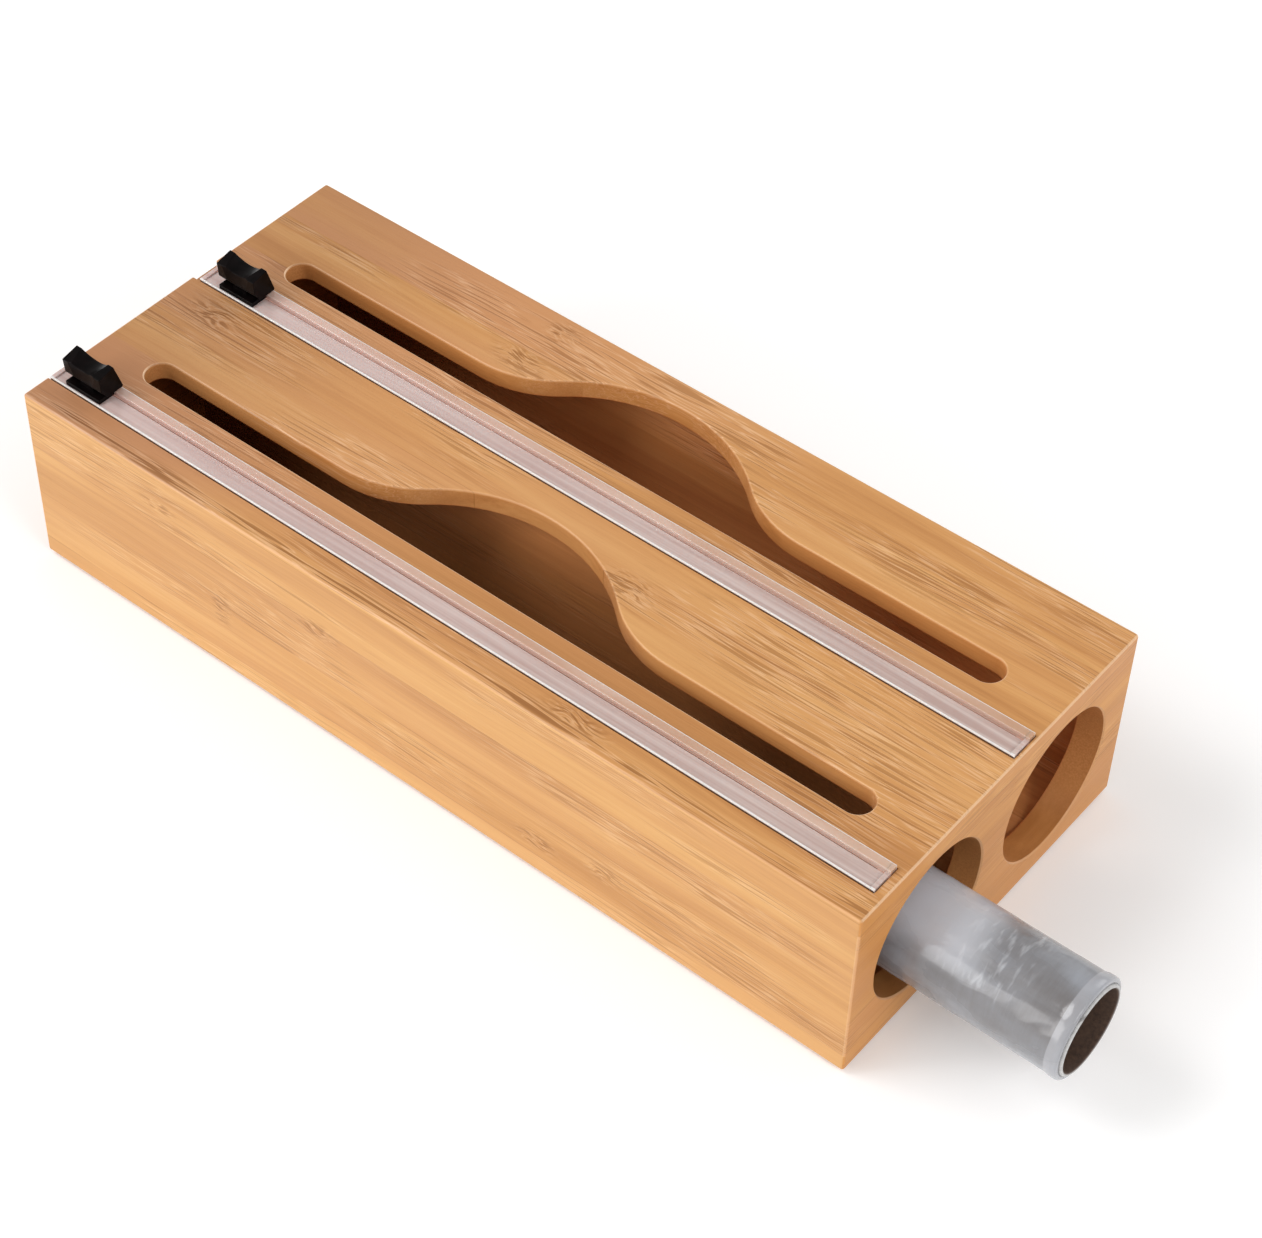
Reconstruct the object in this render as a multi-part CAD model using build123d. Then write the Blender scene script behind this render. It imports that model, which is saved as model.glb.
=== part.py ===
from build123d import *
import os
from math import asin, cos, sin

# Two-roll cling film dispenser: a bamboo box with two chambers side by side. A roll is pushed into
# each chamber through a round port in the right end. The film comes up through a wave-shaped slot
# in the top and is cut by a black slider that runs along a clear rail in front of the slot.
#
# Millimetres. Origin: centre of the footprint, on the surface that the rubber feet stand on.
# +X runs along the box to the end with the ports, +Y to the back, +Z up.

# ---------------------------------------------------------------- box
box_length = 340.0
box_depth = 145.5
box_height = 72.0
edge_radius = 1.0
top_thickness = 7.0
bottom_thickness = 7.0
side_thickness = 8.0
end_thickness = 10.0
divider_thickness = 8.0

# ---------------------------------------------------------------- feet
foot_radius = 6.0
foot_height = 1.5
foot_inset = 16.0
foot_bevel = 0.4

# ---------------------------------------------------------------- the two units
unit_pitch = 67.5
units = {"front": -unit_pitch / 2, "rear": unit_pitch / 2}

# ---------------------------------------------------------------- round ports in the right end
port_radius = 27.5
port_centre_height = 35.5
port_bevel = 0.5

# ---------------------------------------------------------------- wave-shaped film slots
slot_half_length = 148.0
slot_width = 11.2
slot_front_offset = -8.5
wave_half_width = 66.6
wave_rise = 25.5
wave_crest_radius = 58.5
slot_edge_radius = 0.8

# ---------------------------------------------------------------- cutter rails
rail_offset = -22.25
rail_width = 11.2
rail_length = 335.0
rail_right_end = {"front": 166.3, "rear": 168.5}
groove_depth = 2.5
groove_side_gap = 0.35
tape_thickness = 0.3
tape_width = 9.6
tape_end_margin = 3.0
shelf_height = 0.2
front_lip_width = 0.6
front_lip_height = 0.8
ridge_width = 3.2
ridge_height = 1.6
neck_width = 0.7
channel_width = 3.5
channel_low = -1.6
channel_high = -0.7
cap_thickness = 1.5
cap_plug_length = 3.0
cap_plug_gap = 0.1

# ---------------------------------------------------------------- cutter sliders
slider_centre = {"front": -154.5, "rear": -150.5}
grip_length = 17.0
grip_outline = [(-1.2, 2.0), (5.4, 2.0), (5.8, 2.6), (2.7, 12.2), (-4.1, 10.8), (-3.6, 5.1)]
saddle_half_length = 6.2
saddle_depth = 2.7
waist_depth = 0.9
carriage_length = 15.5
carriage_front = -4.5
carriage_back_gap = 0.1
carriage_low = 0.3
carriage_high = 2.0
stem_length = 6.6
stem_width = 0.45
shoe_length = 10.0
shoe_gap = 0.15
shoe_low = -1.5
shoe_high = -0.8
peg_length = 6.0
peg_width = 3.0
peg_height = 3.0
peg_front = -2.4
blade_thickness = 0.4
blade_inner_end = 3.5
blade_outer_end = 7.4
blade_top = 3.6
blade_shoulder = 1.2
blade_tip = -0.5
blade_tip_end = 5.0

# ---------------------------------------------------------------- wooden dowels in the box's corners
dowel_radius = 2.0
dowel_length = 20.0
dowel_depth_in_end = 7.0
dowel_heights = (20.0, 52.0)

# ---------------------------------------------------------------- film roll, in the front port
roll_radius = 17.5
roll_length = 300.0
roll_right_end = 228.0
roll_below_port_axis = 5.0
core_outer_radius = 15.6
core_inner_radius = 14.2
core_overhang = 0.8
winding_gap = 0.05
winding_edge_radius = 1.0
core_edge_bevel = 0.3

# ---------------------------------------------------------------- levels and faces worked out
box_bottom = foot_height
box_top = box_bottom + box_height
floor_level = box_bottom + bottom_thickness
ceiling_level = box_top - top_thickness
end_x = box_length / 2
inner_x = end_x - end_thickness
side_y = box_depth / 2
port_z = box_bottom + port_centre_height
roll_z = port_z - roll_below_port_axis
rail_bottom = -groove_depth + tape_thickness
ridge_front = rail_width / 2 - ridge_width
neck_centre = ridge_front - neck_width / 2
past = 1.0


def block(low, high):
    """A box between two opposite corners."""
    size = [b - a for a, b in zip(low, high)]
    middle = [(a + b) / 2 for a, b in zip(low, high)]
    return Pos(*middle) * Box(*size)


def rod_x(radius, x_low, x_high, y, z):
    """A cylinder along X."""
    turned = Rot(0, 90, 0) * Cylinder(radius, x_high - x_low)
    return Pos((x_low + x_high) / 2, y, z) * turned


def section_x(points, x_low, x_high, y, z):
    """An outline of (y, z) points, extruded along X."""
    plane = Plane(origin=(x_low, y, z), x_dir=(0, 1, 0), z_dir=(1, 0, 0))
    face = make_face(Polyline(*points, close=True))
    return extrude(plane * face, x_high - x_low)


def save(shape, node):
    """One STEP file for one node."""
    shape.label = node
    export_step(shape, f"parts/{node}.step")


# ---------------------------------------------------------------- box panels


def dowels(side):
    """The dowels that hold one end panel (side -1 left, +1 right) to the walls."""
    wall_y = (-(side_y - side_thickness / 2), 0.0, side_y - side_thickness / 2)
    outer = end_x - (end_thickness - dowel_depth_in_end)
    pins = []
    for y in wall_y:
        for height in dowel_heights:
            ends = sorted((side * outer, side * (outer - dowel_length)))
            pins.append(rod_x(dowel_radius, *ends, y, box_bottom + height))
    return Compound(children=pins)


def without_dowels(panel):
    """A panel with the blind holes for every dowel."""
    for side in (-1, 1):
        for pin in dowels(side).children:
            panel = panel - pin
    return panel


def outer_body():
    """The whole box as one rounded block, from which each panel takes its outer faces."""
    body = block((-end_x, -side_y, box_bottom), (end_x, side_y, box_top))
    return fillet(body.edges(), edge_radius)


def wave_slot_face(y_centre):
    """A narrow slot with a wave-shaped bay on its back edge, made of tangent lines and arcs."""
    front = y_centre + slot_front_offset
    back = front + slot_width
    round_end = slot_width / 2
    straight_end = slot_half_length - round_end
    both_radii = (wave_half_width**2 + wave_rise**2) / (2 * wave_rise)
    turn = asin(wave_half_width / both_radii)
    meet_x = wave_crest_radius * sin(turn)
    meet_y = back + wave_rise - wave_crest_radius * (1 - cos(turn))
    outline = [
        Line((-straight_end, front), (straight_end, front)),
        ThreePointArc((straight_end, front), (slot_half_length, front + round_end), (straight_end, back)),
        Line((straight_end, back), (wave_half_width, back)),
        TangentArc((wave_half_width, back), (meet_x, meet_y), tangent=(-1, 0)),
        ThreePointArc((meet_x, meet_y), (0, back + wave_rise), (-meet_x, meet_y)),
        TangentArc((-wave_half_width, back), (-meet_x, meet_y), tangent=(1, 0)),
        Line((-wave_half_width, back), (-straight_end, back)),
        ThreePointArc((-straight_end, back), (-slot_half_length, front + round_end), (-straight_end, front)),
    ]
    return make_face(Wire(outline))


def top_panel():
    """The lid: two wave slots and two grooves for the rails, which run out through the left end."""
    panel = outer_body() & block((-end_x, -side_y, ceiling_level), (end_x, side_y, box_top))
    for unit, y in units.items():
        slot = extrude(Pos(0, 0, ceiling_level - past) * wave_slot_face(y), top_thickness + 2 * past)
        panel = panel - slot
        half = rail_width / 2 + groove_side_gap
        middle = y + rail_offset
        groove_end = rail_right_end[unit] + groove_side_gap
        groove_low = (-end_x - past, middle - half, box_top - groove_depth)
        panel = panel - block(groove_low, (groove_end, middle + half, box_top + past))
    rim = panel.edges().filter_by_position(Axis.Z, box_top - 0.01, box_top + 0.01)
    slot_rims = [edge for edge in rim if beside_a_slot(edge.center())]
    return fillet(slot_rims, slot_edge_radius)


def beside_a_slot(point):
    """Whether a point on the top face lies on the rim of one of the wave slots."""
    for y in units.values():
        front = y + slot_front_offset - 0.1
        back = y + slot_front_offset + slot_width + wave_rise + 0.1
        if front < point.Y < back and abs(point.X) < slot_half_length + 0.1:
            return True
    return False


def bottom_panel():
    return outer_body() & block((-end_x, -side_y, box_bottom), (end_x, side_y, floor_level))


def long_wall(y_low, y_high):
    """The front wall, the back wall or the divider, between the two end panels."""
    low = (-inner_x, y_low, floor_level)
    high = (inner_x, y_high, ceiling_level)
    return without_dowels(outer_body() & block(low, high))


def end_panel(side):
    """The plain left end (side -1) or the blank of the right end (side +1)."""
    x_low, x_high = sorted((side * inner_x, side * end_x))
    low = (x_low, -side_y, floor_level)
    high = (x_high, side_y, ceiling_level)
    return without_dowels(outer_body() & block(low, high))


def right_end_panel():
    """The end with one round port for each chamber, bevelled on the outside."""
    panel = end_panel(1)
    for y in units.values():
        panel = panel - rod_x(port_radius, inner_x - past, end_x + past, y, port_z)
        mouth = Cone(port_radius, port_radius + port_bevel, port_bevel)
        panel = panel - Pos(end_x - port_bevel / 2, y, port_z) * (Rot(0, 90, 0) * mouth)
    return panel


def foot(x_side, y_side):
    """A round rubber pad, bevelled where it meets the table."""
    x = x_side * (end_x - foot_inset)
    y = y_side * (side_y - foot_inset)
    pad = Pos(x, y, foot_height / 2) * Cylinder(foot_radius, foot_height)
    return chamfer(pad.edges().sort_by(Axis.Z)[0], foot_bevel)


# ---------------------------------------------------------------- rails


def rail_span(unit):
    """The low and high X of a rail without its end caps."""
    right = rail_right_end[unit] - cap_thickness
    return right - rail_length + 2 * cap_thickness, right


def rail(unit):
    """Clear extrusion: front lip, shelf, slotted channel for the slider's shoe, back ridge."""
    half = rail_width / 2
    lip_back = -half + front_lip_width
    channel_front = neck_centre - channel_width / 2
    channel_back = neck_centre + channel_width / 2
    outline = [
        (-half, rail_bottom),
        (half, rail_bottom),
        (half, ridge_height),
        (ridge_front, ridge_height),
        (ridge_front, channel_high),
        (channel_back, channel_high),
        (channel_back, channel_low),
        (channel_front, channel_low),
        (channel_front, channel_high),
        (ridge_front - neck_width, channel_high),
        (ridge_front - neck_width, shelf_height),
        (lip_back, shelf_height),
        (lip_back, front_lip_height),
        (-half, front_lip_height),
    ]
    return section_x(outline, *rail_span(unit), units[unit] + rail_offset, box_top)


def rail_cap(unit, side):
    """A clear stop that closes one end of a rail, with a plug in the rail's channel."""
    half = rail_width / 2
    outline = [
        (-half, rail_bottom),
        (half, rail_bottom),
        (half, ridge_height),
        (ridge_front, ridge_height),
        (ridge_front, front_lip_height),
        (-half, front_lip_height),
    ]
    face_x = rail_span(unit)[0] if side < 0 else rail_span(unit)[1]
    middle = units[unit] + rail_offset
    plate = section_x(outline, *sorted((face_x, face_x + side * cap_thickness)), middle, box_top)
    plug_half = channel_width / 2 - cap_plug_gap
    x_low, x_high = sorted((face_x, face_x - side * cap_plug_length))
    y = middle + neck_centre
    plug_low = (x_low, y - plug_half, box_top + channel_low + cap_plug_gap)
    plug_high = (x_high, y + plug_half, box_top + channel_high - cap_plug_gap)
    return plate + block(plug_low, plug_high)


def rail_tape(unit):
    """The adhesive strip between a rail and the bottom of its groove."""
    x_low, x_high = rail_span(unit)
    y = units[unit] + rail_offset
    z = box_top - groove_depth
    low = (x_low + tape_end_margin, y - tape_width / 2, z)
    high = (x_high - tape_end_margin, y + tape_width / 2, z + tape_thickness)
    return block(low, high)


# ---------------------------------------------------------------- cutter sliders


def at_slider(unit, shape):
    """A shape made about a slider's own centre, moved to its place on the rail."""
    return Pos(slider_centre[unit], units[unit] + rail_offset, box_top) * shape


def blade_shape(side):
    """A small steel blade with a slanted edge; side is the end of the slider that it faces."""
    points = [
        (side * blade_inner_end, blade_top),
        (side * blade_outer_end, blade_top),
        (side * blade_outer_end, blade_shoulder),
        (side * blade_tip_end, blade_tip),
        (side * blade_inner_end, blade_tip),
    ]
    back = neck_centre + blade_thickness / 2
    plane = Plane(origin=(0, back, 0), x_dir=(1, 0, 0), z_dir=(0, -1, 0))
    return extrude(plane * make_face(Polyline(*points, close=True)), blade_thickness)


def grip_shape():
    """The black grip: leaning sides, a saddle across the top and a slight waist."""
    half = grip_length / 2
    grip = section_x(grip_outline, -half, half, 0, 0)
    saddle_radius = (saddle_half_length**2 + saddle_depth**2) / (2 * saddle_depth)
    crest = max(z for _, z in grip_outline)
    saddle = Rot(90, 0, 0) * Cylinder(saddle_radius, 4 * grip_length)
    grip = grip - Pos(0, 0, crest - saddle_depth + saddle_radius) * saddle
    waist_radius = (saddle_half_length**2 + waist_depth**2) / (2 * waist_depth)
    waist = Cylinder(waist_radius, 4 * grip_length)
    front = min(y for y, _ in grip_outline)
    back = max(y for y, _ in grip_outline)
    grip = grip - Pos(0, front + waist_depth - waist_radius, 0) * waist
    grip = grip - Pos(0, back - waist_depth + waist_radius, 0) * waist
    grip = grip - peg_shape()
    return grip - blade_shape(-1) - blade_shape(1)


def peg_shape():
    """The peg on the carriage that the grip is pressed onto."""
    low = (-peg_length / 2, peg_front, carriage_high)
    high = (peg_length / 2, peg_front + peg_width, carriage_high + peg_height)
    return block(low, high)


def carriage_shape():
    """The runner: a plate on the rail's shelf, with a stem and a shoe held in its channel."""
    half = carriage_length / 2
    plate_high = (half, ridge_front - carriage_back_gap, carriage_high)
    plate = block((-half, carriage_front, carriage_low), plate_high)
    stem_low = (-stem_length / 2, neck_centre - stem_width / 2, shoe_high)
    stem = block(stem_low, (stem_length / 2, neck_centre + stem_width / 2, carriage_low))
    shoe_half = channel_width / 2 - shoe_gap
    shoe_low_corner = (-shoe_length / 2, neck_centre - shoe_half, shoe_low)
    shoe = block(shoe_low_corner, (shoe_length / 2, neck_centre + shoe_half, shoe_high))
    runner = plate + stem + shoe + peg_shape()
    return runner - blade_shape(-1) - blade_shape(1)


# ---------------------------------------------------------------- film roll


def tube_x(outer, inner, x_low, x_high):
    """A level tube through the front port, at the height where a hand holds the roll to push it in."""
    y = units["front"]
    return rod_x(outer, x_low, x_high, y, roll_z) - rod_x(inner, x_low - past, x_high + past, y, roll_z)


def roll_core():
    """The cardboard tube, with its end edges broken."""
    tube = tube_x(core_outer_radius, core_inner_radius, roll_right_end - roll_length, roll_right_end)
    return chamfer(tube.edges().filter_by(GeomType.CIRCLE), core_edge_bevel)


def roll_film():
    """The wound film as one solid tube, rounded over at both ends."""
    x_low = roll_right_end - roll_length + core_overhang
    x_high = roll_right_end - core_overhang
    tube = tube_x(roll_radius, core_outer_radius + winding_gap, x_low, x_high)
    circles = tube.edges().filter_by(GeomType.CIRCLE)
    outer = [edge for edge in circles if edge.radius > core_outer_radius + winding_edge_radius]
    return fillet(outer, winding_edge_radius)


# ---------------------------------------------------------------- write every node

os.makedirs("parts", exist_ok=True)

save(top_panel(), "top_panel")
save(bottom_panel(), "bottom_panel")
save(long_wall(-side_y, -side_y + side_thickness), "front_panel")
save(long_wall(side_y - side_thickness, side_y), "back_panel")
save(long_wall(-divider_thickness / 2, divider_thickness / 2), "divider_panel")
save(end_panel(-1), "left_end_panel")
save(right_end_panel(), "right_end_panel")
save(dowels(-1), "dowels_left")
save(dowels(1), "dowels_right")

for y_name, y_side in (("front", -1), ("rear", 1)):
    for x_name, x_side in (("left", -1), ("right", 1)):
        save(foot(x_side, y_side), f"foot_{y_name}_{x_name}")

for unit in units:
    save(rail(unit), f"rail_{unit}")
    save(rail_tape(unit), f"rail_tape_{unit}")
    save(at_slider(unit, grip_shape()), f"cutter_grip_{unit}")
    save(at_slider(unit, carriage_shape()), f"cutter_carriage_{unit}")
    for x_name, x_side in (("left", -1), ("right", 1)):
        save(rail_cap(unit, x_side), f"rail_cap_{unit}_{x_name}")
        save(at_slider(unit, blade_shape(x_side)), f"cutter_blade_{unit}_{x_name}")

save(roll_core(), "roll_core")
save(roll_film(), "roll_film")
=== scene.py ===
import math
import bmesh
import bpy
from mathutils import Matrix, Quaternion, Vector, noise


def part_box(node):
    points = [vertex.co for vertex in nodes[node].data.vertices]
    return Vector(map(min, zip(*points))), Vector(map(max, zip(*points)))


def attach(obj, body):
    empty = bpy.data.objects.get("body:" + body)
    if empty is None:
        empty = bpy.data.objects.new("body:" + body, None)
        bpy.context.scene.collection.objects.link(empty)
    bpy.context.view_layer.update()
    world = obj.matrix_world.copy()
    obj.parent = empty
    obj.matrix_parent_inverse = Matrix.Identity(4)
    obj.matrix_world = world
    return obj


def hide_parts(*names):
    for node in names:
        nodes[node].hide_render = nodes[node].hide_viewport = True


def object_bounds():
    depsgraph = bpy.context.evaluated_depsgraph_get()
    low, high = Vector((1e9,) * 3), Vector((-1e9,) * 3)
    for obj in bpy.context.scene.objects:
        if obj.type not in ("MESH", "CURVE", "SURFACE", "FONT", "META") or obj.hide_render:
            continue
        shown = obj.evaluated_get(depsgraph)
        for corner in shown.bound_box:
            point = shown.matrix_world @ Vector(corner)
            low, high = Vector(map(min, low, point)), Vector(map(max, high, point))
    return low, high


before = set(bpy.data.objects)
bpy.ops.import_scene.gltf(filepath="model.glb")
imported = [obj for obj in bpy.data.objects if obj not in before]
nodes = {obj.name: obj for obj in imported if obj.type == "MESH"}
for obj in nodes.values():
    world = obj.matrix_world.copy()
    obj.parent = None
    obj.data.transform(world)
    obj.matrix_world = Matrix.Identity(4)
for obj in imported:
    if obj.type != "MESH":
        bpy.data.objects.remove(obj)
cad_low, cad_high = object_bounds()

# The visual model of the two-roll cling film dispenser. Metres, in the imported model's frame: +X runs
# to the end with the ports, +Y to the back, +Z up. Material patterns are worked out in millimetres.

MM = 0.001
X, Y, Z = 0, 1, 2
UNITS = ("front", "rear")
ENDS = ("left", "right")
scene = bpy.context.scene

# ---------------------------------------------------------------- small helpers for shader nodes


class Shader:
    """A material's node tree, with short calls for the nodes that the patterns are made of."""

    def __init__(self, name):
        self.material = bpy.data.materials.new(name)
        self.material.use_nodes = True
        self.tree = self.material.node_tree
        self.surface = self.tree.nodes["Principled BSDF"]

    def node(self, kind, inputs=(), **settings):
        made = self.tree.nodes.new(kind)
        for key, value in settings.items():
            setattr(made, key, value)
        for key, value in dict(inputs).items():
            self.feed(made.inputs[key], value)
        return made

    def feed(self, socket, value):
        """Links a socket, or sets its number or colour."""
        if isinstance(value, bpy.types.NodeSocket):
            self.tree.links.new(value, socket)
        else:
            socket.default_value = value

    def set(self, **values):
        """Sets the surface's own sockets: spaces in their names are underscores here."""
        for key, value in values.items():
            self.feed(self.surface.inputs[key.replace("_", " ")], value)

    def math(self, operation, a, b=0.0, c=0.0):
        made = self.node("ShaderNodeMath", operation=operation)
        for socket, value in zip(made.inputs, (a, b, c)):
            self.feed(socket, value)
        return made.outputs[0]

    def place(self):
        """The three coordinates of the point in the model's frame, in millimetres."""
        where = self.node("ShaderNodeTexCoord").outputs["Object"]
        parts = self.node("ShaderNodeSeparateXYZ", {"Vector": where})
        return [self.math("MULTIPLY", parts.outputs[i], 1 / MM) for i in (X, Y, Z)]

    def facing(self):
        """The three parts of the surface's normal, in the model's frame."""
        normal = self.node("ShaderNodeTexCoord").outputs["Normal"]
        return self.node("ShaderNodeSeparateXYZ", {"Vector": normal}).outputs

    def vector(self, x, y, z):
        made = self.node("ShaderNodeCombineXYZ")
        for socket, value in zip(made.inputs, (x, y, z)):
            self.feed(socket, value)
        return made.outputs[0]

    def stretched(self, xyz, scales):
        """A vector of three coordinates, each times its own scale."""
        return self.vector(*[self.math("MULTIPLY", c, s) for c, s in zip(xyz, scales)])

    def noise(self, vector, detail, roughness=0.5):
        """Smooth noise, about 0.5 on average."""
        inputs = {"Vector": vector, "Scale": 1.0, "Detail": detail, "Roughness": roughness}
        return self.node("ShaderNodeTexNoise", inputs).outputs["Fac"]

    def random(self, value):
        """One random number from 0 to 1 for each value."""
        made = self.node("ShaderNodeTexWhiteNoise", noise_dimensions="1D")
        self.feed(made.inputs["W"], value)
        return made.outputs["Value"]

    def remap(self, value, low, high, to_low=0.0, to_high=1.0):
        """A smooth step from one range to another, held at its ends."""
        made = self.node("ShaderNodeMapRange", interpolation_type="SMOOTHSTEP")
        for index, number in enumerate((value, low, high, to_low, to_high)):
            self.feed(made.inputs[index], number)
        return made.outputs[0]

    def mix(self, factor, a, b):
        """Colour a where the factor is 0, colour b where it is 1."""
        made = self.node("ShaderNodeMix", data_type="RGBA")
        for index, value in ((0, factor), (6, a), (7, b)):
            self.feed(made.inputs[index], value)
        return made.outputs[2]

    def tint(self, colour, by):
        """A colour times another."""
        made = self.node("ShaderNodeMix", data_type="RGBA", blend_type="MULTIPLY")
        for index, value in ((0, 1.0), (6, colour), (7, (*by, 1.0))):
            self.feed(made.inputs[index], value)
        return made.outputs[2]

    def ramp(self, factor, stops):
        """A colour looked up in a row of (place from 0 to 1, colour)."""
        made = self.node("ShaderNodeValToRGB", {"Fac": factor})
        elements = made.color_ramp.elements
        for _ in range(len(stops) - len(elements)):
            elements.new(0.5)
        for element, (at, colour) in zip(elements, stops):
            element.position = at
            element.color = colour
        return made.outputs["Color"]

    def bump(self, height, distance_mm, strength):
        """Relief on the surface, that far from low to high."""
        inputs = {"Height": height, "Distance": distance_mm * MM, "Strength": strength}
        self.set(Normal=self.node("ShaderNodeBump", inputs).outputs[0])


def rgb(red, green, blue):
    """A linear colour from the 0 to 255 numbers that a screen shows."""
    linear = []
    for level in (red / 255, green / 255, blue / 255):
        bright = ((level + 0.055) / 1.055) ** 2.4
        linear.append(bright if level > 0.04045 else level / 12.92)
    return (*linear, 1.0)


def dress(material, *names):
    """Gives CAD nodes a material in place of their plain one."""
    for name in names:
        slots = nodes[name].data.materials
        slots.clear()
        slots.append(material)


# ---------------------------------------------------------------- bamboo

STRIP_WIDTH = 21.0           # the strips that the boards are laminated from
GLUE_LINE = 0.22             # how wide the line between two of them is
LIGHT_FIBRE = rgb(221, 167, 104)
MIDDLE_FIBRE = rgb(205, 147, 86)
DARK_FIBRE = rgb(182, 123, 66)
PINK_FIBRE = rgb(200, 141, 95)
END_GRAIN = (rgb(196, 138, 82), rgb(211, 155, 98))
# Painted highlight colour: for the rounded rims and for the pale lines beside veins and knuckles.
PAINTED_HIGHLIGHT = rgb(248, 208, 168)
# A tint is what the wood's colour is multiplied by.
VEIN_TINT = (0.50, 0.40, 0.25)
SEAM_TINT = (0.55, 0.42, 0.20)
OPENING_TINT = (0.98, 0.86, 0.78)
# Painted shade inside the chambers: the wood there is darker and redder, and darker still to the left.
CHAMBER_SHADE_TINT = (0.95, 0.80, 0.78)
DEEP_SHADE_TINT = (0.42, 0.26, 0.20)
DEEP_SHADE_SPAN = (-60.0, -150.0)      # painted shade: the chambers' wood is darker towards the left, between these x


def patches(s, along, side, places):
    """1 in the middle of each place, 0 away from them. A place is (grain, across, length, width)."""
    mask = 0.0
    for at, beside, length, width in places:
        off_along = s.math("DIVIDE", s.math("SUBTRACT", along, at), length)
        off_side = s.math("DIVIDE", s.math("SUBTRACT", side, beside), width)
        distance = s.node("ShaderNodeVectorMath", operation="LENGTH")
        s.feed(distance.inputs[0], s.vector(off_along, off_side, 0.0))
        spot = s.remap(distance.outputs["Value"], 1.0, 0.2)
        mask = s.math("MAXIMUM", spot, mask)
    return mask


def enclosed(s, xyz):
    """1 on the faces that look into the two chambers, 0 on the outside and in the lid's openings."""
    walls = (
        ("left_end_panel", "right_end_panel"),
        ("front_panel", "back_panel"),
        ("bottom_panel", "top_panel"),
    )
    slack = 0.3
    within = 1.0
    for axis, (low_wall, high_wall) in enumerate(walls):
        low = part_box(low_wall)[1][axis] / MM - slack
        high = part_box(high_wall)[0][axis] / MM + slack
        after = s.math("GREATER_THAN", xyz[axis], low)
        before = s.math("LESS_THAN", xyz[axis], high)
        within = s.math("MULTIPLY", s.math("MULTIPLY", after, before), within)
    return within


def at_outline(s, xyz, board, axes):
    """1 at a board's own outline, 0 in its middle, where only the walls of openings stand."""
    low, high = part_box(board)
    margin = 1.2
    near = 0.0
    for axis in axes:
        before = s.math("LESS_THAN", xyz[axis], low[axis] / MM + margin)
        after = s.math("GREATER_THAN", xyz[axis], high[axis] / MM - margin)
        near = s.math("MAXIMUM", s.math("MAXIMUM", before, after), near)
    return near


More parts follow.
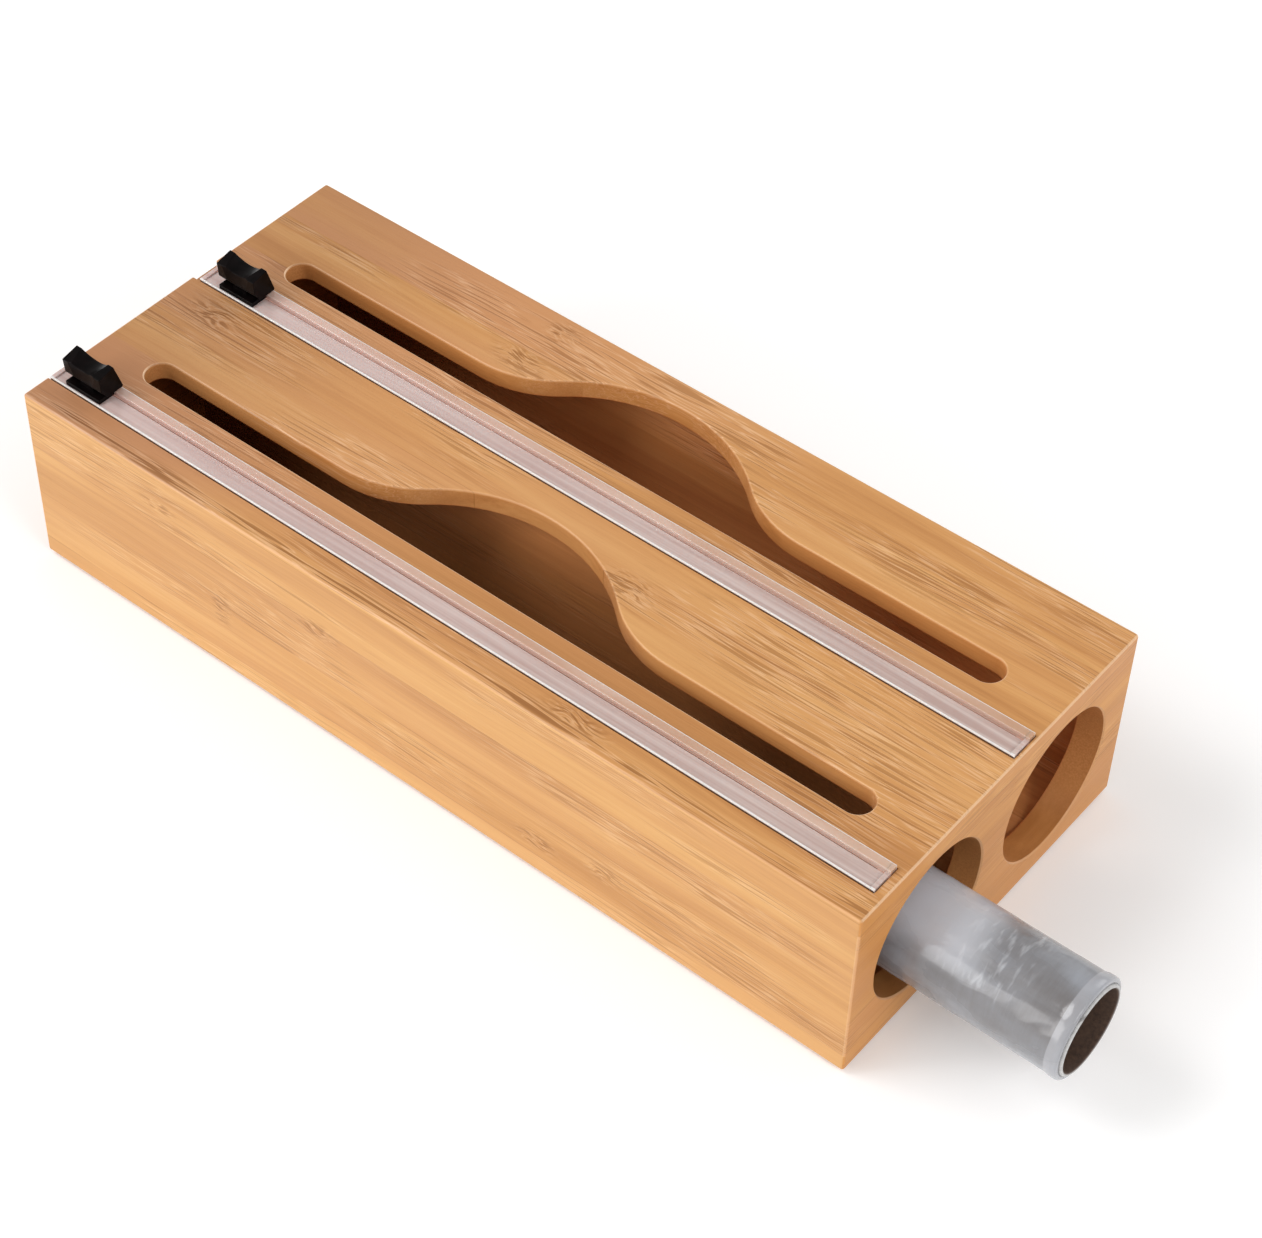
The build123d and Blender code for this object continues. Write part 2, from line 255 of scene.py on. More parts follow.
class Grain:
    """The long grain of laminated bamboo, as seen on one kind of face. face is 1 where the surface
    faces that way. look says:
    grain, across       the axes along the fibres and across them
    seed, strip_at      which random strips, and where one of them begins
    contrast            how strong strips and veins are
    pink                how flushed the wood is at x -120 and at x 120
    tint                what the colour is multiplied by
    aged                ((start, full), tint): wood that gets darker along the grain
    bands, crowds       places where veins crowd together, dark ones and others
    knuckles            places where the stem had a node
    """

    def __init__(self, s, xyz, face, look):
        self.s = s
        self.look = look
        self.face = face
        self.contrast = look.get("contrast", 1.0)
        grain, across = look["grain"], look["across"]
        self.along, self.side, self.deep = xyz[grain], xyz[across], xyz[3 - grain - across]
        self.knuckle = self.patches("knuckles")
        self.band = self.patches("bands")
        self.crowd = s.math("MAXIMUM", self.patches("crowds"), self.band)
        self.bend_fibres()
        self.part_strips()
        self.colour = self.ground()
        self.draw_veins()
        self.draw_seams()
        # The colour gets darker along the grain, between the two given places.
        if "darker_along" in look:
            darker_along, darker = look["darker_along"]
            self.colour = s.mix(s.remap(self.along, *darker_along), self.colour, s.tint(self.colour, darker))
        self.tinted = s.tint(self.colour, look.get("tint", (1, 1, 1)))

    def height(self):
        """Proud fibres and sunken veins."""
        s = self.s
        height = s.math("MULTIPLY_ADD", self.fine, 0.25, s.math("MULTIPLY", self.dash, 0.8))
        height = s.math("SUBTRACT", height, s.math("MULTIPLY", self.veins, 0.5))
        return s.math("SUBTRACT", height, s.math("MULTIPLY", self.seam, 0.35))

    def patches(self, kind):
        return patches(self.s, self.along, self.side, self.look.get(kind, ()))

    def fibre_noise(self, along, across, detail=1.0, roughness=0.5):
        """Noise that is drawn out along the fibres. Its scales are per millimetre."""
        return self.s.noise(self.s.stretched(self.fibre, (along, across, across)), detail, roughness)

    def bend_fibres(self):
        """Fibres drift slowly, and swirl where the stem had a node."""
        s = self.s
        here = (self.along, self.side, self.deep)
        drift = s.noise(s.stretched(here, (0.007, 0.035, 0.035)), 1.0)
        swirl = s.noise(s.stretched(here, (0.055, 0.10, 0.10)), 1.0)
        self.bent = s.math("MULTIPLY_ADD", s.math("SUBTRACT", drift, 0.5), 9.0, self.side)
        reach = s.math("MULTIPLY", self.knuckle, 9.0)
        wave = s.math("MULTIPLY", s.math("SUBTRACT", swirl, 0.5), reach)
        self.swirled = s.math("ADD", self.bent, wave)

    def part_strips(self):
        """Each strip has its own tone and stretch of stem. Here and there a glue line shows."""
        s = self.s
        strip = s.math("DIVIDE", s.math("SUBTRACT", self.side, self.look["strip_at"]), STRIP_WIDTH)
        self.tone = s.random(s.math("ADD", s.math("FLOOR", strip), self.look["seed"]))
        slid = s.math("MULTIPLY_ADD", self.tone, 700.0, self.along)
        self.fibre = (slid, self.bent, self.deep)
        from_middle = s.math("ABSOLUTE", s.math("SUBTRACT", s.math("FRACT", strip), 0.5))
        line = s.remap(from_middle, 0.5 - GLUE_LINE / STRIP_WIDTH, 0.5)
        self.seam = s.math("MULTIPLY", line, s.remap(self.fibre_noise(0.02, 0.01), 0.45, 0.65))

    def ground(self):
        """The wood between the veins, golden and in places flushed pink."""
        s = self.s
        broad = self.fibre_noise(0.005, 0.10, 2.0)
        self.streak = self.fibre_noise(0.014, 0.50, 3.0, 0.65)
        self.fine = self.fibre_noise(0.05, 2.6, 3.0, 0.65)
        shade = s.math("MULTIPLY_ADD", self.streak, 0.55, broad)
        shade = s.math("MULTIPLY_ADD", self.fine, 0.20, shade)
        shade = s.math("MULTIPLY_ADD", self.tone, 0.16 * self.contrast, shade)
        spread = 0.36 / self.contrast
        shade = s.remap(shade, 0.95 - spread, 0.95 + spread)
        colour = s.ramp(shade, ((0.0, DARK_FIBRE), (0.5, MIDDLE_FIBRE), (1.0, LIGHT_FIBRE)))
        flush = s.remap(self.fibre_noise(0.006, 0.03), 0.2, 0.7)
        flush = s.math("MULTIPLY", flush, s.remap(self.along, -120.0, 120.0, *self.look["pink"]))
        flush = s.math("MULTIPLY", flush, s.remap(self.face, 0.35, 0.65))
        return s.mix(flush, colour, PINK_FIBRE)

    def draw_veins(self):
        """Brown vascular bundles, in clusters and at the knuckles, with a painted highlight beside
        them.
        """
        s = self.s
        self.dash = self.fibre_noise(0.032, 1.1, 1.0, 0.4)
        cluster = s.remap(self.fibre_noise(0.009, 0.045), 0.47, 0.62)
        crowded = s.math("MAXIMUM", cluster, self.crowd)
        above = s.math("SUBTRACT", self.dash, s.math("MULTIPLY_ADD", self.crowd, 0.04, 0.43))
        dashes = s.math("MULTIPLY", s.remap(above, 0.0, -0.06), crowded)
        # Painted highlight: a pale line just beside each vein, as if its edge were lit.
        pale = s.math("MULTIPLY", s.remap(above, 0.0, 0.03), s.remap(above, 0.09, 0.05))
        pale = s.math("MULTIPLY", pale, crowded)
        hairs = s.remap(self.fibre_noise(0.07, 2.0, 0.0), 0.34, 0.24, 0.0, 0.5)
        hairs = s.math("MULTIPLY", hairs, s.math("MULTIPLY_ADD", crowded, 0.6, 0.4))
        swirling = (self.along, self.swirled, self.deep)
        stroke = s.noise(s.stretched(swirling, (0.18, 1.2, 1.2)), 1.0)
        strokes = s.math("MULTIPLY", s.remap(stroke, 0.48, 0.38), self.knuckle)
        # Painted highlight beside the knuckles' strokes.
        ripple = s.math("MULTIPLY", s.remap(stroke, 0.50, 0.54), s.remap(stroke, 0.62, 0.57))
        pale = s.math("MAXIMUM", pale, s.math("MULTIPLY", ripple, self.knuckle))
        veins = s.math("MAXIMUM", s.math("MAXIMUM", dashes, hairs), strokes)
        self.veins = s.math("MULTIPLY", veins, s.remap(self.face, 0.1, 0.5))
        self.colour = s.mix(s.math("MULTIPLY", pale, 0.35 * self.contrast), self.colour, PAINTED_HIGHLIGHT)
        marked = s.math("MAXIMUM", self.band, self.knuckle)
        strength = s.math("MULTIPLY_ADD", marked, 0.3, 0.58 * self.contrast)
        dark = s.tint(self.colour, VEIN_TINT)
        self.colour = s.mix(s.math("MULTIPLY", self.veins, strength), self.colour, dark)
        self.colour = s.mix(s.math("MULTIPLY", self.knuckle, 0.15), self.colour, DARK_FIBRE)

    def draw_seams(self):
        """The dark glue lines."""
        dark = self.s.tint(self.colour, SEAM_TINT)
        self.colour = self.s.mix(self.s.math("MULTIPLY", self.seam, 0.7), self.colour, dark)


def end_grain(s, xyz):
    """Across the cut the fibres end in fine dots."""
    dots = s.noise(s.stretched(xyz, (1.6, 1.6, 1.6)), 2.0, 0.6)
    return s.mix(s.remap(dots, 0.3, 0.7), *END_GRAIN)


def board(name, own, edges=(), pallor=(0.5, 0.5)):
    """A board's material. own is the look of its two big faces. edges are the looks of the faces at
    its outline, each with the axis it faces along and the sign, or 0 for both, so that the corners
    show no joint. The last argument sets the painted highlight on rims facing -Y and +Y."""
    s = Shader(name)
    xyz = s.place()
    facing = s.facing()
    look = LOOKS[own]
    grain, across = look["grain"], look["across"]
    face = s.math("ABSOLUTE", facing[3 - grain - across])
    wood = Grain(s, xyz, face, look)
    on_face = s.remap(face, 0.35, 0.65)

    cut = s.remap(s.math("ABSOLUTE", facing[grain]), 0.35, 0.9)
    side = s.tint(s.mix(cut, wood.colour, end_grain(s, xyz)), OPENING_TINT)
    outline = at_outline(s, xyz, name, (grain, across))
    for edge, axis, sign in edges:
        if sign:
            towards = s.math("MULTIPLY", facing[axis], float(sign))
        else:
            towards = s.math("ABSOLUTE", facing[axis])
        seen = Grain(s, xyz, towards, LOOKS[edge])
        here = s.math("MULTIPLY", outline, s.remap(towards, 0.3, 0.7))
        side = s.mix(here, side, seen.tinted)
    colour = s.mix(on_face, side, wood.tinted)
    # Painted shade: the faces inside the chambers are darkened, more so towards the left.
    near, far = s.tint(colour, CHAMBER_SHADE_TINT), s.tint(colour, DEEP_SHADE_TINT)
    painted_shade = s.mix(s.remap(xyz[X], *DEEP_SHADE_SPAN), near, far)
    colour = s.mix(enclosed(s, xyz), colour, painted_shade)
    # Painted highlight: the rounded rims are paled, by a set amount for rims facing -Y and for those
    # facing +Y.
    rim = s.math("MULTIPLY", s.remap(face, 0.98, 0.86), s.remap(face, 0.10, 0.35))
    rim_highlight = s.math("MULTIPLY", rim, s.remap(facing[Y], -0.3, 0.3, *pallor))
    colour = s.mix(rim_highlight, colour, PAINTED_HIGHLIGHT)

    satin = s.math("MULTIPLY_ADD", wood.streak, -0.16, 0.52)
    s.set(Base_Color=colour, Roughness=satin, IOR=1.42)
    s.set(Coat_Weight=0.10, Coat_Roughness=0.28)
    s.bump(s.math("MULTIPLY", wood.height(), s.remap(face, 0.3, 0.8)), 0.22, 0.6)
    return s.material


# Where knuckles, crowds and bands lie: (along the grain, across it, half length, half width).
LOOKS = {
    "lid": dict(
        grain=X,
        across=Y,
        seed=3,
        strip_at=-12.0,
        contrast=0.9,
        pink=(0.9, 0.1),
        # The lid is darker towards its left end.
        darker_along=((-60.0, -165.0), (0.80, 0.80, 0.86)),
        bands=((-60, -70, 500, 4.5),),
        knuckles=(
            (-57, 46, 16, 8),
            (-54, 65, 10, 8),
            (-150, -4, 16, 9),
            (37, -13, 16, 8),
            (60, -66, 18, 5),
        ),
        crowds=(
            (112, -14, 70, 17),
            (112, 51, 70, 13),
            (-85, 51, 36, 3),
            (-132, -12, 42, 2.5),
        ),
    ),
    "front": dict(
        grain=X,
        across=Z,
        seed=11,
        strip_at=9.0,
        contrast=0.7,
        pink=(0.3, 0.3),
        tint=(1.0, 1.06, 1.02),
        knuckles=(
            (-110, 60, 12, 4),
            (-84, 30, 6, 13),
            (-40, 49, 14, 6),
            (50, 16, 12, 6),
            (78, 21, 12, 6),
        ),
        crowds=(
            (130, 58, 50, 5),
            (122, 43, 60, 7),
            (142, 17, 16, 7),
            (-45, 59, 45, 2),
        ),
    ),
    "back": dict(
        grain=X,
        across=Z,
        seed=23,
        strip_at=9.0,
        contrast=0.8,
        pink=(0.3, 0.3),
        knuckles=((70, 52, 14, 6), (-62, 24, 12, 8)),
        crowds=((-100, 40, 60, 10), (30, 18, 80, 6)),
    ),
    "end": dict(
        grain=Y,
        across=Z,
        seed=59,
        strip_at=4.0,
        contrast=0.6,
        pink=(0.9, 0.9),
        tint=(1.02, 0.91, 0.52),
    ),
    "divider": dict(grain=X, across=Z, seed=31, strip_at=5.0, contrast=0.5, pink=(0.3, 0.3)),
    "base": dict(
        grain=X,
        across=Y,
        seed=47,
        strip_at=-4.0,
        pink=(0.3, 0.3),
        knuckles=((-70, 20, 16, 8), (85, -38, 16, 8)),
    ),
}
UPRIGHT_EDGES = (("front", Y, -1), ("back", Y, 1))
LEVEL_EDGES = (("front", Y, 0), ("end", X, 0))
# How pale the painted highlight makes the rims facing -Y and those facing +Y.
LID_RIM_HIGHLIGHT = (0.15, 0.95)
WALL_RIM_HIGHLIGHT = (0.25, 0.25)
BOARDS = {
    "top_panel": ("lid", LEVEL_EDGES, LID_RIM_HIGHLIGHT),
    "bottom_panel": ("base", LEVEL_EDGES),
    "front_panel": ("front", (), WALL_RIM_HIGHLIGHT),
    "back_panel": ("back", (), WALL_RIM_HIGHLIGHT),
    "divider_panel": ("divider",),
    "left_end_panel": ("end", UPRIGHT_EDGES, WALL_RIM_HIGHLIGHT),
    "right_end_panel": ("end", UPRIGHT_EDGES, WALL_RIM_HIGHLIGHT),
}
for panel, looks in BOARDS.items():
    dress(board(panel, *looks), panel)


def dowel_wood():
    """Pale beech with short flecks along the pin."""
    s = Shader("dowel_wood")
    xyz = s.place()
    fleck = s.noise(s.stretched(xyz, (0.3, 3.0, 3.0)), 3.0)
    colour = s.ramp(fleck, ((0.3, rgb(176, 138, 92)), (0.7, rgb(221, 186, 140))))
    s.set(Base_Color=colour, Roughness=0.6)
    s.bump(fleck, 0.05, 0.5)
    return s.material


dress(dowel_wood(), "dowels_left", "dowels_right")

# ---------------------------------------------------------------- rails, tape, sliders, feet

# Across the rail, from its middle.
RAIL_LIP = -5.0              # where the front lip ends
RAIL_NECK = 2.05             # the middle of the slot that the carriage's stem runs in
RAIL_RIDGE = 2.4             # where the back ridge starts
RAIL_BACK = 5.2              # where the painted highlight on the back edge starts
EDGE_FADE = 0.2


def clear_plastic(unit):
    """A milky clear extrusion with a painted highlight on its lip and back edge. The shelf is greyed by
    the tape under it, and the ridge, with bare wood under it, takes up the wood's colour."""
    s = Shader(f"clear_rail_{unit}")
    xyz = s.place()
    low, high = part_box(f"rail_{unit}")
    across = s.math("SUBTRACT", xyz[Y], (low.y + high.y) / 2 / MM)
    depth = s.math("SUBTRACT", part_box("top_panel")[1].z / MM, xyz[Z])
    lines = s.noise(s.stretched(xyz, (0.004, 2.2, 2.2)), 2.0)
    streaks = s.noise(s.stretched(xyz, (0.012, 0.5, 0.5)), 2.0, 0.6)
    cloud = s.noise(s.stretched(xyz, (0.02, 0.12, 0.12)), 2.0)
    shelf = s.ramp(streaks, ((0.35, rgb(199, 171, 162)), (0.65, rgb(223, 203, 195))))
    ridge = s.ramp(cloud, ((0.35, rgb(206, 164, 134)), (0.65, rgb(221, 189, 168))))
    colour = s.mix(s.remap(across, RAIL_RIDGE - 0.6, RAIL_RIDGE + 0.6), shelf, ridge)
    colour = s.mix(s.remap(xyz[X], -160.0, 160.0, 0.3, 0.0), colour, rgb(238, 206, 204))
    # Painted highlight along the front lip and the back edge.
    lip_highlight = s.remap(across, RAIL_LIP + EDGE_FADE, RAIL_LIP)
    back_highlight = s.remap(across, RAIL_BACK, RAIL_BACK + EDGE_FADE)
    colour = s.mix(s.math("MAXIMUM", lip_highlight, back_highlight), colour, rgb(255, 246, 240))

    # Painted shadow: the foot of the front wall is darkened with the shade of the gap before it.
    facing_front = s.remap(s.facing()[Y], -0.6, -0.85)
    foot = s.math("MULTIPLY", facing_front, s.remap(depth, -0.4, -0.2))
    foot = s.math("MULTIPLY", foot, s.remap(across, 0.0, -1.0))
    colour = s.mix(foot, colour, rgb(120, 90, 74))

    # Painted light: the slot's walls glow faintly, standing in for light that leaks through the
    # plastic.
    beside_neck = s.math("ABSOLUTE", s.math("SUBTRACT", across, RAIL_NECK))
    slot_glow = s.math("MULTIPLY", s.remap(beside_neck, 0.6, 0.45), s.remap(depth, 0.0, 0.1))
    s.set(Emission_Color=s.mix(slot_glow, rgb(0, 0, 0), rgb(120, 96, 88)), Emission_Strength=1.0)
    s.set(Base_Color=colour, Roughness=s.math("MULTIPLY_ADD", lines, 0.2, 0.12), IOR=1.49)
    s.set(Subsurface_Weight=0.5, Subsurface_Radius=(1.0, 0.8, 0.7), Subsurface_Scale=2.5 * MM)
    s.set(Transmission_Weight=0.15, Coat_Weight=0.5, Coat_Roughness=0.08)
    s.bump(lines, 0.04, 0.4)
    return s.material


def tape():
    """Pale adhesive strip, pressed unevenly onto the wood."""
    s = Shader("adhesive_tape")
    xyz = s.place()
    cloud = s.noise(s.stretched(xyz, (0.05, 0.3, 0.3)), 3.0, 0.6)
    colour = s.ramp(cloud, ((0.3, rgb(206, 183, 180)), (0.7, rgb(226, 207, 206))))
    s.set(Base_Color=colour, Roughness=0.7)
    s.bump(cloud, 0.1, 0.5)
    return s.material


def black_plastic():
    """Satin black moulding with a fine spark-eroded grain and paler, worn patches."""
    s = Shader("slider_black")
    xyz = s.place()
    grain = s.noise(s.stretched(xyz, (6.0, 6.0, 6.0)), 2.0)
    pallor = s.noise(s.stretched(xyz, (0.35, 0.35, 0.35)), 3.0)
    colour = s.ramp(pallor, ((0.35, rgb(6, 4, 4)), (0.75, rgb(17, 11, 11))))
    s.set(Base_Color=colour, Roughness=s.math("MULTIPLY_ADD", pallor, -0.2, 0.42))
    s.set(IOR=1.22, Specular_IOR_Level=0.3)
    s.bump(grain, 0.02, 0.35)
    return s.material


def blade_steel():
    """Ground steel, with the lines of the grinding across the blade."""
    s = Shader("blade_steel")
    xyz = s.place()
    ground = s.noise(s.stretched(xyz, (9.0, 9.0, 0.6)), 2.0)
    colour = s.ramp(ground, ((0.3, rgb(168, 170, 172)), (0.7, rgb(205, 207, 210))))
    roughness = s.math("MULTIPLY_ADD", ground, 0.2, 0.2)
    s.set(Base_Color=colour, Metallic=1.0, Roughness=roughness)
    s.bump(ground, 0.01, 0.4)
    return s.material


def foot_rubber():
    """Soft grey rubber, matt and a little dusty."""
    s = Shader("foot_rubber")
    xyz = s.place()
    dust = s.noise(s.stretched(xyz, (0.8, 0.8, 0.8)), 4.0, 0.7)
    colour = s.ramp(dust, ((0.35, rgb(120, 118, 115)), (0.75, rgb(168, 165, 160))))
    s.set(Base_Color=colour, Roughness=0.75)
    s.bump(dust, 0.05, 0.5)
    return s.material


for unit in UNITS:
    dress(clear_plastic(unit), f"rail_{unit}", *[f"rail_cap_{unit}_{e}" for e in ENDS])
dress(tape(), *[f"rail_tape_{u}" for u in UNITS])
dress(black_plastic(), *[f"cutter_{part}_{u}" for part in ("grip", "carriage") for u in UNITS])
dress(blade_steel(), *[f"cutter_blade_{u}_{e}" for u in UNITS for e in ENDS])
dress(foot_rubber(), *[f"foot_{u}_{e}" for u in UNITS for e in ENDS])


HARD_EDGE = math.radians(28)


def round_edges(name, width_mm, segments=3):
    """Rounds the hard edges of a CAD node with modifiers, so that they catch the light."""
    piece = nodes[name]
    weld = piece.modifiers.new("weld", "WELD")
    weld.merge_threshold = 0.002 * MM
    bevel = piece.modifiers.new("bevel", "BEVEL")
    bevel.width = width_mm * MM
    bevel.segments = segments
    bevel.limit_method = "ANGLE"
    bevel.angle_limit = HARD_EDGE
    bevel.harden_normals = True


for unit in UNITS:
    round_edges(f"cutter_grip_{unit}", 0.45, 4)
    round_edges(f"cutter_carriage_{unit}", 0.15)
    round_edges(f"rail_{unit}", 0.12)
    for end in ENDS:
        round_edges(f"rail_cap_{unit}_{end}", 0.12)

# ---------------------------------------------------------------- film roll

roll_low, roll_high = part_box("roll_film")
core_low, core_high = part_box("roll_core")
axis_y = (roll_low.y + roll_high.y) / 2
axis_z = (roll_low.z + roll_high.z) / 2
roll_radius = (roll_high.y - roll_low.y) / 2
core_radius = (core_high.y - core_low.y) / 2


def turned(name, profile, around, radius_at=None):
    """A closed ring of material about the roll's axis. profile is a closed loop of (x, radius)."""
    mesh = bmesh.new()
    rows = []
    for x, radius in profile:
        row = []
        for step in range(around):
            angle = 2 * math.pi * step / around
            r = radius_at(x, angle, radius) if radius_at else radius
            beside, above = r * math.cos(angle), r * math.sin(angle)
            row.append(mesh.verts.new((x, axis_y + beside, axis_z + above)))
        rows.append(row)
    for row, following in zip(rows, rows[1:] + rows[:1]):
        for step in range(around):
            after = (step + 1) % around
            mesh.faces.new((row[step], row[after], following[after], following[step]))
    bmesh.ops.recalc_face_normals(mesh, faces=mesh.faces)
    data = bpy.data.meshes.new(name)
    mesh.to_mesh(data)
    mesh.free()
    data.shade_smooth()
    piece = bpy.data.objects.new(name, data)
    scene.collection.objects.link(piece)
    return piece


FILM_LAYERS = 0.35 * MM      # how much of the winding is loose enough to wrinkle
TAIL_STEP = 0.10 * MM        # how much the film's free edge stands up
TAIL_ANGLE = math.radians(128)
FILM_EDGE = 4.5              # millimetres at the roll's end where the turns are proud and paler
BEAD_FALL = 0.25 * MM        # how far that bead falls off to both sides
SHOULDER = 0.9 * MM          # how far the winding's two ends are rounded
film_inner = core_radius + 0.05 * MM


def wrinkled(x, angle, radius):
    """The outer turns: soft hollows, tight diagonal creases and the step at the film's free edge."""
    if radius <= film_inner:
        return radius
    here = Vector((x * 22, math.cos(angle) * 1.1 + 5, math.sin(angle) * 1.1))
    soft = noise.noise(here)
    swirl = Vector((x * 90 + angle * 1.6, math.cos(angle) * 2.4, math.sin(angle) * 2.4 + 9))
    crease = 1 - abs(noise.noise(swirl)) * 2
    crease = max(0.0, crease - 0.55) / 0.45
    since_tail = ((angle - TAIL_ANGLE) / (2 * math.pi)) % 1
    sunk = 0.45 * (0.5 - 0.5 * soft) + 0.25 * (1 - crease)
    from_end = (roll_high.x - x) / MM
    if from_end < FILM_EDGE:
        middle = FILM_EDGE / 2
        return radius - BEAD_FALL * ((from_end - middle) / middle) ** 2
    return radius - FILM_LAYERS * sunk - TAIL_STEP * since_tail - BEAD_FALL


def film_profile():
    """Out along the winding's inside and back along its outside, with rounded shoulders."""
    steps = 240
    inner = [(roll_low.x, film_inner), (roll_high.x, film_inner)]
    right = []
    left = []
    for k in range(7):
        a = math.pi / 2 * k / 6
        rise = roll_radius - SHOULDER + SHOULDER * math.sin(a)
        right.append((roll_high.x - SHOULDER + SHOULDER * math.cos(a), rise))
        left.append((roll_low.x + SHOULDER - SHOULDER * math.cos(a), rise))
    start = roll_high.x - SHOULDER
    span = roll_high.x - roll_low.x - 2 * SHOULDER
    outside = [(start - span * k / steps, roll_radius) for k in range(1, steps)]
    return inner + right + outside + left[::-1]


film = turned("wound_film", film_profile(), 180, wrinkled)

CORE_WALL = 1.4


def core_profile():
    """The tube's wall, with both lips rounded over."""
    inner = core_radius - CORE_WALL * MM
    middle = (inner + core_radius) / 2
    lip = (core_radius - inner) / 2
    loop = []
    for end, side in ((core_low.x, -1), (core_high.x, 1)):
        centre = end - side * lip
        arc = []
        for k in range(9):
            a = -math.pi / 2 + math.pi * k / 8
            arc.append((centre + side * lip * math.cos(a), middle + lip * math.sin(a)))
        loop += arc[::-1] if side < 0 else arc
    return loop


core = turned("core_tube", core_profile(), 120)


def from_axis(s, xyz):
    """How far a point lies from the roll's axis, and its angle in turns."""
    beside = s.math("SUBTRACT", xyz[Y], axis_y / MM)
    above = s.math("SUBTRACT", xyz[Z], axis_z / MM)
    square = s.math("ADD", s.math("MULTIPLY", beside, beside), s.math("MULTIPLY", above, above))
    turns = s.math("DIVIDE", s.math("ARCTAN2", above, beside), 2 * math.pi)
    return s.math("SQRT", square), turns


# Where the film's look changes, in millimetres from the roll's right end.
CLOUDY = (42.0, 56.0)
# BRIGHT and BRIGHT_FADES bound the painted highlight on the roll's top.
BRIGHT = (28.0, 45.0)
BRIGHT_FADES = (150.0, 80.0)
EVEN = (80.0, 120.0)
# FOLDS_START and FOLDS_END bound the painted highlights on the gripped folds.
FOLDS_START = (14.0, 26.0)
FOLDS_END = (52.0, 38.0)


def film_plastic():
    """Many turns of clear film: grey with milky patches, stretch lines, a wet gloss and painted
    highlights.
    """
    s = Shader("cling_film")
    xyz = s.place()
    distance, turns = from_axis(s, xyz)
    from_end = s.math("SUBTRACT", roll_high.x / MM, xyz[X])
    top = s.remap(s.math("SUBTRACT", xyz[Z], axis_z / MM), 6.0, 15.0)

    # Grey, in patches and in lines along the roll.
    milky = s.noise(s.stretched(xyz, (0.03, 0.07, 0.07)), 3.0, 0.5)
    around = s.math("MULTIPLY", turns, 9.0)
    stretch = s.noise(s.vector(s.math("MULTIPLY", xyz[X], 0.5), around, 0.0), 4.0, 0.65)
    tone = s.math("MULTIPLY_ADD", stretch, 0.25, s.math("MULTIPLY", milky, 0.95))
    stops = ((0.40, rgb(112, 109, 109)), (0.60, rgb(127, 127, 130)), (0.80, rgb(148, 151, 158)))
    colour = s.ramp(tone, stops)

    # The paler bead at the end, then the milkier film behind it, with a painted highlight on top.
    edge = s.remap(from_end, FILM_EDGE + 0.2, FILM_EDGE - 0.2)
    colour = s.mix(s.math("MULTIPLY", edge, 0.4), colour, rgb(190, 191, 197))
    cloudy = s.math("MULTIPLY", s.remap(from_end, *CLOUDY), s.remap(milky, 0.35, 0.6))
    colour = s.mix(s.math("MULTIPLY", cloudy, 0.3), colour, rgb(196, 202, 212))
    bright = s.math("MULTIPLY", s.remap(from_end, *BRIGHT), s.remap(from_end, *BRIGHT_FADES, 0.25, 1.0))
    bright = s.math("MULTIPLY", bright, top)
    colour = s.mix(s.math("MULTIPLY", bright, 0.75), colour, rgb(222, 227, 236))
    colour = s.mix(s.remap(from_end, *EVEN, 0.0, 0.6), colour, rgb(160, 162, 167))

    # Painted highlights on small folds where the roll is gripped, on its upper side.
    around = s.math("MULTIPLY", turns, 14.0)
    crinkle = s.noise(s.vector(s.math("MULTIPLY", xyz[X], 0.45), around, 3.0), 2.0)
    fold = s.remap(crinkle, 0.50, 0.74)
    pressed = s.math("MULTIPLY", s.remap(from_end, *FOLDS_START), s.remap(from_end, *FOLDS_END))
    lit = s.math("MULTIPLY", s.math("MULTIPLY", fold, pressed), s.remap(top, 0.0, 0.4))
    colour = s.mix(s.math("MULTIPLY", lit, 0.3), colour, rgb(232, 236, 242))

    s.set(Base_Color=colour, Roughness=s.math("MULTIPLY_ADD", milky, 0.3, 0.12))
    s.set(IOR=1.45, Coat_Weight=0.5, Coat_Roughness=0.12, Coat_IOR=1.45)
    layers = s.noise(s.vector(0.0, 0.0, s.math("MULTIPLY", distance, 9.0)), 2.0)
    height = s.math("ADD", s.math("MULTIPLY", stretch, 0.5), s.math("MULTIPLY", layers, 0.35))
    height = s.math("MULTIPLY_ADD", lit, 0.6, height)
    s.bump(height, 0.25, 0.4)
    return s.material


SPIRAL_PITCH = 62.0


def core_board():
    """Spiral-wound board: pale outside, dark brown inside, with the seam of each turn."""
    s = Shader("cardboard")
    xyz = s.place()
    distance, turns = from_axis(s, xyz)
    spiral = s.math("FRACT", s.math("ADD", s.math("DIVIDE", xyz[X], SPIRAL_PITCH), turns))
    seam = s.remap(s.math("ABSOLUTE", s.math("SUBTRACT", spiral, 0.5)), 0.484, 0.497)
    pulp = s.noise(s.stretched(xyz, (0.7, 0.7, 0.7)), 5.0, 0.7)
    inner_face = s.remap(distance, core_radius / MM - CORE_WALL / 2, core_radius / MM - 1.3)
    outside = s.ramp(pulp, ((0.3, rgb(176, 174, 172)), (0.7, rgb(208, 207, 206))))
    inside = s.ramp(pulp, ((0.3, rgb(62, 44, 34)), (0.7, rgb(96, 72, 56))))
    colour = s.mix(inner_face, outside, inside)
    colour = s.mix(s.math("MULTIPLY", seam, 0.5), colour, rgb(40, 28, 20))
    s.set(Base_Color=colour, Roughness=s.math("MULTIPLY_ADD", pulp, 0.2, 0.6))
    s.bump(s.math("SUBTRACT", pulp, seam), 0.12, 0.5)
    return s.material


film.data.materials.append(film_plastic())
core.data.materials.append(core_board())
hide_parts("roll_film")
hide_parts("roll_core")
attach(film, "film_winding")
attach(core, "film_core")

# ---------------------------------------------------------------- floor, light and camera


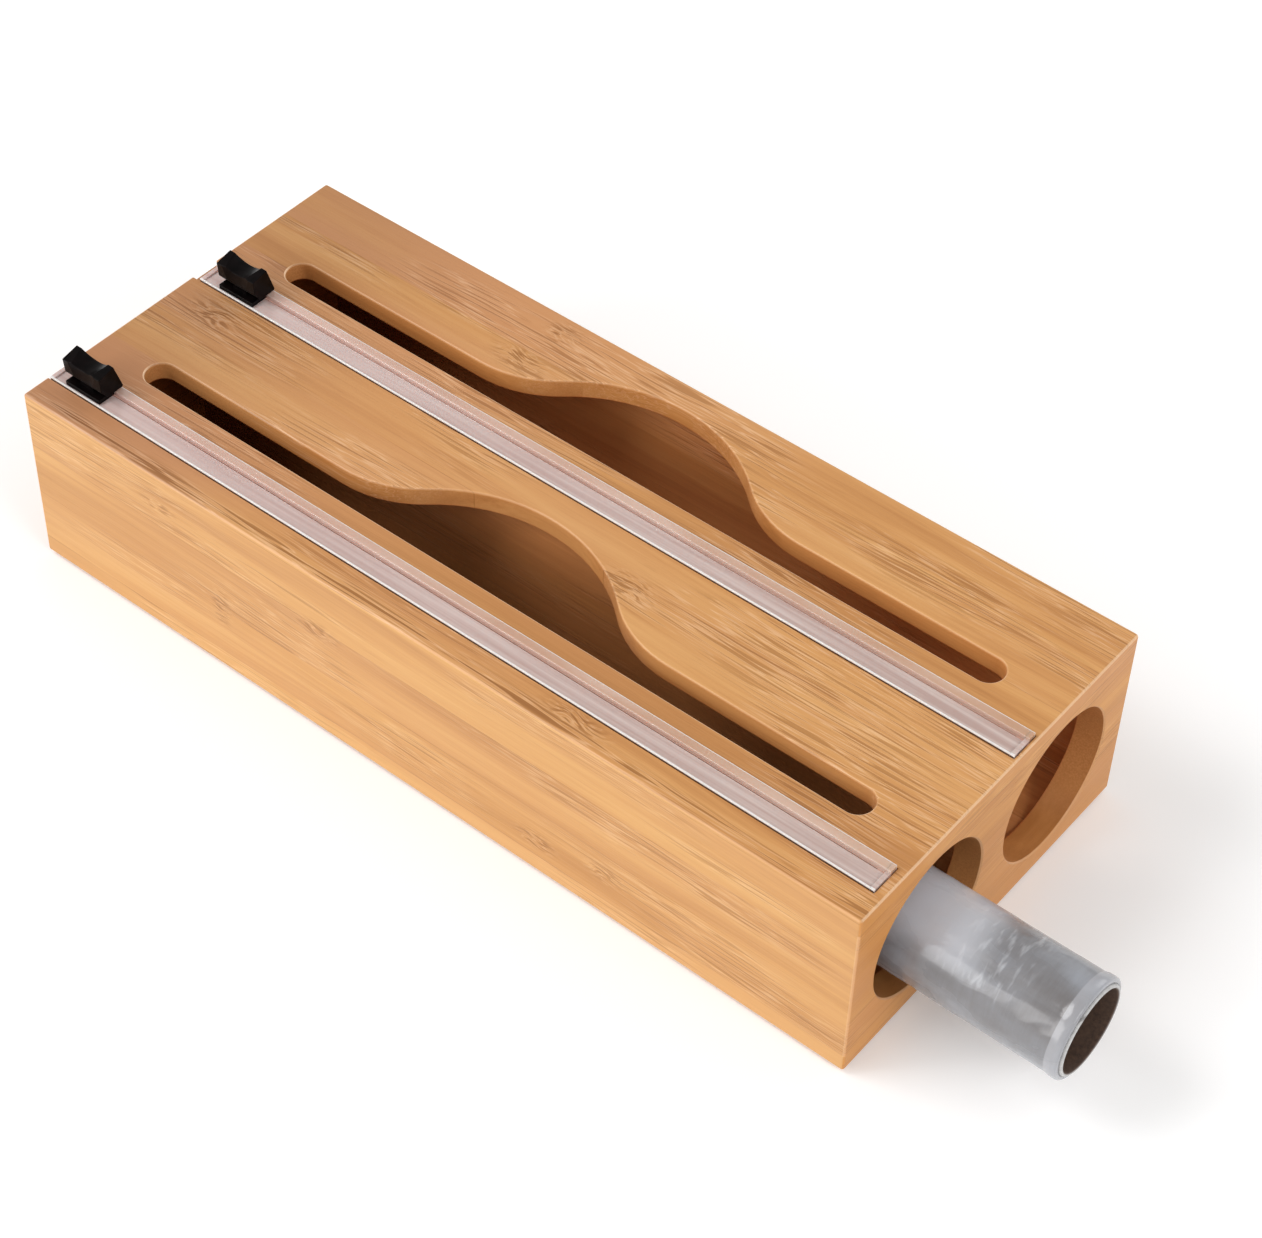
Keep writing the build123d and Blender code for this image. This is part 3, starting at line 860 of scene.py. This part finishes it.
FLOOR_REACH = 12.0


def floor():
    """The pale floor that the object stands on."""
    far = FLOOR_REACH
    data = bpy.data.meshes.new("floor")
    corners = [(-far, -far, 0), (far, -far, 0), (far, far, 0), (-far, far, 0)]
    data.from_pydata(corners, [], [(0, 1, 2, 3)])
    ground = bpy.data.objects.new("floor", data)
    scene.collection.objects.link(ground)
    s = Shader("floor")
    s.set(Base_Color=(0.93, 0.93, 0.93, 1.0), Roughness=0.9)
    s.set(Emission_Color=(1.0, 1.0, 1.0, 1.0), Emission_Strength=0.12)
    data.materials.append(s.material)


def softbox(name, place, aim, size, power):
    """A square area light that looks at a point."""
    lamp = bpy.data.lights.new(name, "AREA")
    lamp.shape = "SQUARE"
    lamp.size = size
    lamp.energy = power
    holder = bpy.data.objects.new(name, lamp)
    holder.location = place
    holder.rotation_mode = "QUATERNION"
    holder.rotation_quaternion = (Vector(aim) - Vector(place)).to_track_quat("-Z", "Y")
    scene.collection.objects.link(holder)


WORLD_LIGHT = 0.50
# Where each light hangs, how wide it is, and its power in watts.
LIGHTS = {
    "key": ((-1.3, -2.6, 1.0), 1.8, 39.0),
    "overhead": ((-2.0, -1.4, 2.8), 1.7, 50.0),
    "side": ((1.8, -0.3, 1.1), 1.0, 13.5),
    "back": ((0.3, 1.7, 0.9), 1.0, 6.0),
}


def studio():
    """Bright even surroundings, a large key from the front left and three softer lights."""
    world = bpy.data.worlds.new("studio")
    scene.world = world
    world.use_nodes = True
    background = world.node_tree.nodes["Background"]
    background.inputs["Color"].default_value = (1.0, 1.0, 1.0, 1.0)
    background.inputs["Strength"].default_value = WORLD_LIGHT
    centre = ((cad_low + cad_high) / 2).to_tuple()
    for name, (place, size, power) in LIGHTS.items():
        softbox(name, place, centre, size, power)
    scene.view_settings.view_transform = "Standard"


# The viewpoint, worked out from where the box's corners lie in the picture: degrees and metres,
# and the lens in millimetres.
LENS = 85.85
CAMERA_AZIMUTH = 37.69
CAMERA_ELEVATION = 46.45
CAMERA_ROLL = 1.82
CAMERA_DISTANCE = 0.9728
CAMERA_AIM = Vector((0.0257, 0.0040, 0.0375))


def camera():
    """The viewpoint: in front, to the right and well above, through a long lens."""
    a, e = math.radians(CAMERA_AZIMUTH), math.radians(CAMERA_ELEVATION)
    back = Vector((math.sin(a) * math.cos(e), -math.cos(a) * math.cos(e), math.sin(e)))
    lens = bpy.data.cameras.new("camera")
    lens.lens = LENS
    lens.sensor_width = 36.0
    lens.clip_start = 0.05
    viewer = bpy.data.objects.new("camera", lens)
    viewer.location = CAMERA_AIM + back * CAMERA_DISTANCE
    viewer.rotation_mode = "QUATERNION"
    level = (-back).to_track_quat("-Z", "Y")
    viewer.rotation_quaternion = level @ Quaternion((0, 0, 1), math.radians(CAMERA_ROLL))
    scene.collection.objects.link(viewer)
    scene.camera = viewer


floor()
studio()
camera()
